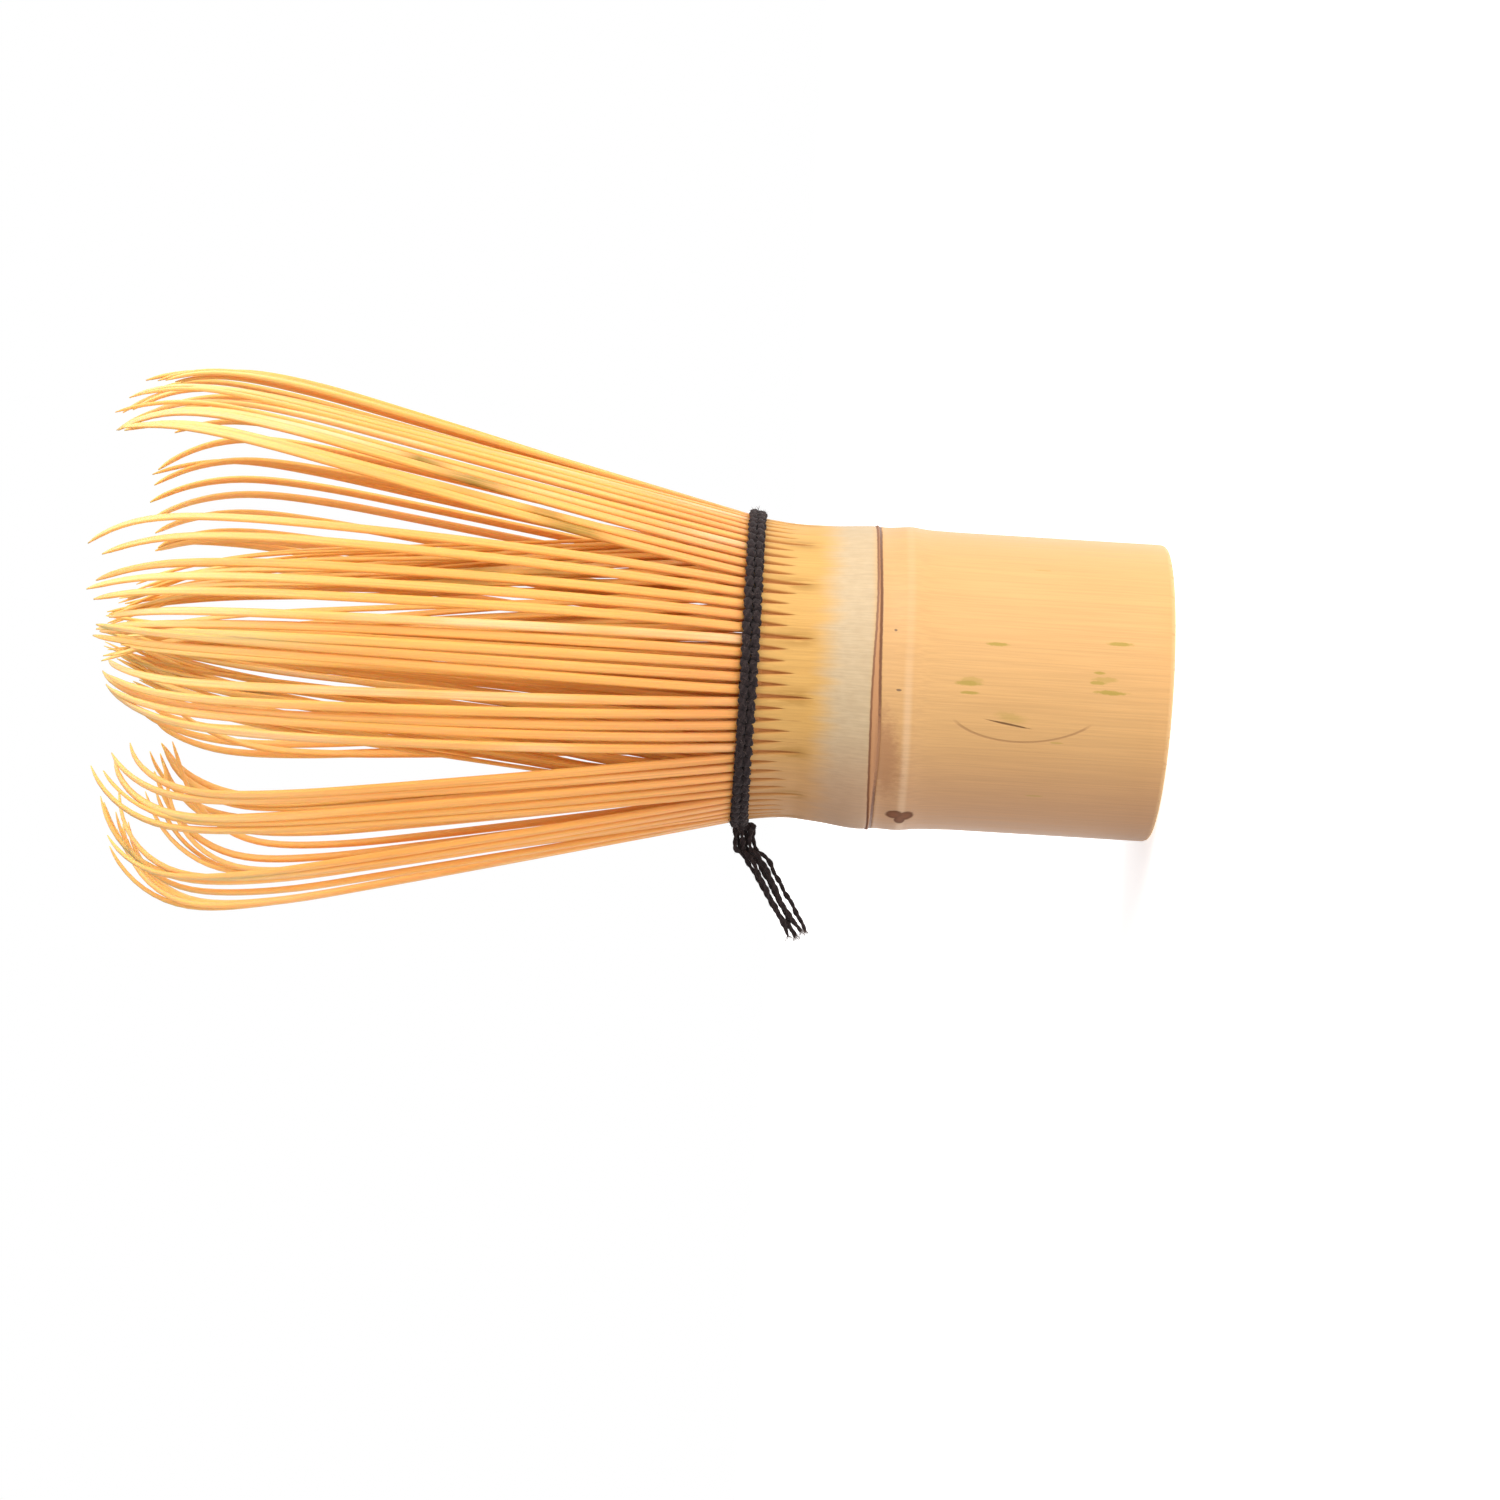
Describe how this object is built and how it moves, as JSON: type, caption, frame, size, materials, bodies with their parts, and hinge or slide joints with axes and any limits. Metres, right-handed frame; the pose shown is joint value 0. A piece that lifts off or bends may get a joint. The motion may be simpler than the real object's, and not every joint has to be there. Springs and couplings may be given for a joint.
{
  "type": "bamboo tea whisk",
  "caption": "Bamboo tea whisk: a hollow culm handle whose far end is split into curled outer tines and a finer inner bundle, bound by a dark twined thread with loose ends.",
  "frame": {"origin": "centre of the handle's flat end", "axes": "+Z along the culm towards the tips of the tines, -X through the thread's knot"},
  "size_m": [0.0555, 0.055, 0.1067],
  "materials": {
    "culm_bamboo": "satin, dry bamboo skin",
    "outer_tine_bamboo": "smooth shaved bamboo",
    "inner_tine_bamboo": "smooth shaved bamboo",
    "binding_thread": "matt twined cotton"
  },
  "bodies": {
    "culm": {"culm_handle": "culm_bamboo", "thread_row_lower": "binding_thread", "thread_row_upper": "binding_thread", "thread_knot": "binding_thread", "tail_strand_1": "binding_thread", "tail_strand_2": "binding_thread", "tail_strand_3": "binding_thread", "tail_strand_4": "binding_thread", "tail_strand_5": "binding_thread", "tail_strand_6": "binding_thread"},
    "outer_clump_01": {"outer_tines_01": "outer_tine_bamboo"},
    "outer_clump_02": {"outer_tines_02": "outer_tine_bamboo"},
    "outer_clump_03": {"outer_tines_03": "outer_tine_bamboo"},
    "outer_clump_04": {"outer_tines_04": "outer_tine_bamboo"},
    "outer_clump_05": {"outer_tines_05": "outer_tine_bamboo"},
    "outer_clump_06": {"outer_tines_06": "outer_tine_bamboo"},
    "outer_clump_07": {"outer_tines_07": "outer_tine_bamboo"},
    "outer_clump_08": {"outer_tines_08": "outer_tine_bamboo"},
    "outer_clump_09": {"outer_tines_09": "outer_tine_bamboo"},
    "outer_clump_10": {"outer_tines_10": "outer_tine_bamboo"},
    "outer_clump_11": {"outer_tines_11": "outer_tine_bamboo"},
    "outer_clump_12": {"outer_tines_12": "outer_tine_bamboo"},
    "outer_clump_13": {"outer_tines_13": "outer_tine_bamboo"},
    "outer_clump_14": {"outer_tines_14": "outer_tine_bamboo"},
    "outer_clump_15": {"outer_tines_15": "outer_tine_bamboo"},
    "outer_clump_16": {"outer_tines_16": "outer_tine_bamboo"},
    "inner_clump_01": {"inner_tines_01": "inner_tine_bamboo", "inner_tines_02": "inner_tine_bamboo"},
    "inner_clump_02": {"inner_tines_03": "inner_tine_bamboo", "inner_tines_04": "inner_tine_bamboo"},
    "inner_clump_03": {"inner_tines_05": "inner_tine_bamboo", "inner_tines_06": "inner_tine_bamboo"},
    "inner_clump_04": {"inner_tines_07": "inner_tine_bamboo", "inner_tines_08": "inner_tine_bamboo"},
    "inner_clump_05": {"inner_tines_09": "inner_tine_bamboo", "inner_tines_10": "inner_tine_bamboo"},
    "inner_clump_06": {"inner_tines_11": "inner_tine_bamboo", "inner_tines_12": "inner_tine_bamboo"},
    "inner_clump_07": {"inner_tines_13": "inner_tine_bamboo", "inner_tines_14": "inner_tine_bamboo"},
    "inner_clump_08": {"inner_tines_15": "inner_tine_bamboo", "inner_tines_16": "inner_tine_bamboo"}
  },
  "joints": [
    {"name": "outer_flex_01", "type": "hinge", "parent": "culm", "child": "outer_clump_01", "pos_m": [0.0152, 0, 0.0412], "axis": [0, 1, 0], "range_deg": [-3, 5], "stiffness_Nm_per_rad": 0.01},
    {"name": "outer_flex_02", "type": "hinge", "parent": "culm", "child": "outer_clump_02", "pos_m": [0.01404, 0.00582, 0.0412], "axis": [-0.3827, 0.9239, 0], "range_deg": [-3, 5], "stiffness_Nm_per_rad": 0.01},
    {"name": "outer_flex_03", "type": "hinge", "parent": "culm", "child": "outer_clump_03", "pos_m": [0.01075, 0.01075, 0.0412], "axis": [-0.7071, 0.7071, 0], "range_deg": [-3, 5], "stiffness_Nm_per_rad": 0.01},
    {"name": "outer_flex_04", "type": "hinge", "parent": "culm", "child": "outer_clump_04", "pos_m": [0.00582, 0.01404, 0.0412], "axis": [-0.9239, 0.3827, 0], "range_deg": [-3, 5], "stiffness_Nm_per_rad": 0.01},
    {"name": "outer_flex_05", "type": "hinge", "parent": "culm", "child": "outer_clump_05", "pos_m": [0, 0.0152, 0.0412], "axis": [-1, 0, 0], "range_deg": [-3, 5], "stiffness_Nm_per_rad": 0.01},
    {"name": "outer_flex_06", "type": "hinge", "parent": "culm", "child": "outer_clump_06", "pos_m": [-0.00582, 0.01404, 0.0412], "axis": [-0.9239, -0.3827, 0], "range_deg": [-3, 5], "stiffness_Nm_per_rad": 0.01},
    {"name": "outer_flex_07", "type": "hinge", "parent": "culm", "child": "outer_clump_07", "pos_m": [-0.01075, 0.01075, 0.0412], "axis": [-0.7071, -0.7071, 0], "range_deg": [-3, 5], "stiffness_Nm_per_rad": 0.01},
    {"name": "outer_flex_08", "type": "hinge", "parent": "culm", "child": "outer_clump_08", "pos_m": [-0.01404, 0.00582, 0.0412], "axis": [-0.3827, -0.9239, 0], "range_deg": [-3, 5], "stiffness_Nm_per_rad": 0.01},
    {"name": "outer_flex_09", "type": "hinge", "parent": "culm", "child": "outer_clump_09", "pos_m": [-0.0152, 0, 0.0412], "axis": [0, -1, 0], "range_deg": [-3, 5], "stiffness_Nm_per_rad": 0.01},
    {"name": "outer_flex_10", "type": "hinge", "parent": "culm", "child": "outer_clump_10", "pos_m": [-0.01404, -0.00582, 0.0412], "axis": [0.3827, -0.9239, 0], "range_deg": [-3, 5], "stiffness_Nm_per_rad": 0.01},
    {"name": "outer_flex_11", "type": "hinge", "parent": "culm", "child": "outer_clump_11", "pos_m": [-0.01075, -0.01075, 0.0412], "axis": [0.7071, -0.7071, 0], "range_deg": [-3, 5], "stiffness_Nm_per_rad": 0.01},
    {"name": "outer_flex_12", "type": "hinge", "parent": "culm", "child": "outer_clump_12", "pos_m": [-0.00582, -0.01404, 0.0412], "axis": [0.9239, -0.3827, 0], "range_deg": [-3, 5], "stiffness_Nm_per_rad": 0.01},
    {"name": "outer_flex_13", "type": "hinge", "parent": "culm", "child": "outer_clump_13", "pos_m": [0, -0.0152, 0.0412], "axis": [1, 0, 0], "range_deg": [-3, 5], "stiffness_Nm_per_rad": 0.01},
    {"name": "outer_flex_14", "type": "hinge", "parent": "culm", "child": "outer_clump_14", "pos_m": [0.00582, -0.01404, 0.0412], "axis": [0.9239, 0.3827, 0], "range_deg": [-3, 5], "stiffness_Nm_per_rad": 0.01},
    {"name": "outer_flex_15", "type": "hinge", "parent": "culm", "child": "outer_clump_15", "pos_m": [0.01075, -0.01075, 0.0412], "axis": [0.7071, 0.7071, 0], "range_deg": [-3, 5], "stiffness_Nm_per_rad": 0.01},
    {"name": "outer_flex_16", "type": "hinge", "parent": "culm", "child": "outer_clump_16", "pos_m": [0.01404, -0.00582, 0.0412], "axis": [0.3827, 0.9239, 0], "range_deg": [-3, 5], "stiffness_Nm_per_rad": 0.01},
    {"name": "inner_flex_01", "type": "hinge", "parent": "culm", "child": "inner_clump_01", "pos_m": [0.0131, 0.00314, 0.0412], "axis": [-0.2334, 0.9724, 0], "range_deg": [0, 4], "stiffness_Nm_per_rad": 0.008},
    {"name": "inner_flex_02", "type": "hinge", "parent": "culm", "child": "inner_clump_02", "pos_m": [0.00704, 0.01149, 0.0412], "axis": [-0.8526, 0.5225, 0], "range_deg": [0, 4], "stiffness_Nm_per_rad": 0.008},
    {"name": "inner_flex_03", "type": "hinge", "parent": "culm", "child": "inner_clump_03", "pos_m": [-0.00314, 0.0131, 0.0412], "axis": [-0.9724, -0.2334, 0], "range_deg": [0, 4], "stiffness_Nm_per_rad": 0.008},
    {"name": "inner_flex_04", "type": "hinge", "parent": "culm", "child": "inner_clump_04", "pos_m": [-0.01149, 0.00704, 0.0412], "axis": [-0.5225, -0.8526, 0], "range_deg": [0, 4], "stiffness_Nm_per_rad": 0.008},
    {"name": "inner_flex_05", "type": "hinge", "parent": "culm", "child": "inner_clump_05", "pos_m": [-0.0131, -0.00314, 0.0412], "axis": [0.2334, -0.9724, 0], "range_deg": [0, 4], "stiffness_Nm_per_rad": 0.008},
    {"name": "inner_flex_06", "type": "hinge", "parent": "culm", "child": "inner_clump_06", "pos_m": [-0.00704, -0.01149, 0.0412], "axis": [0.8526, -0.5225, 0], "range_deg": [0, 4], "stiffness_Nm_per_rad": 0.008},
    {"name": "inner_flex_07", "type": "hinge", "parent": "culm", "child": "inner_clump_07", "pos_m": [0.00314, -0.0131, 0.0412], "axis": [0.9724, 0.2334, 0], "range_deg": [0, 4], "stiffness_Nm_per_rad": 0.008},
    {"name": "inner_flex_08", "type": "hinge", "parent": "culm", "child": "inner_clump_08", "pos_m": [0.01149, -0.00704, 0.0412], "axis": [0.5225, 0.8526, 0], "range_deg": [0, 4], "stiffness_Nm_per_rad": 0.008}
  ]
}
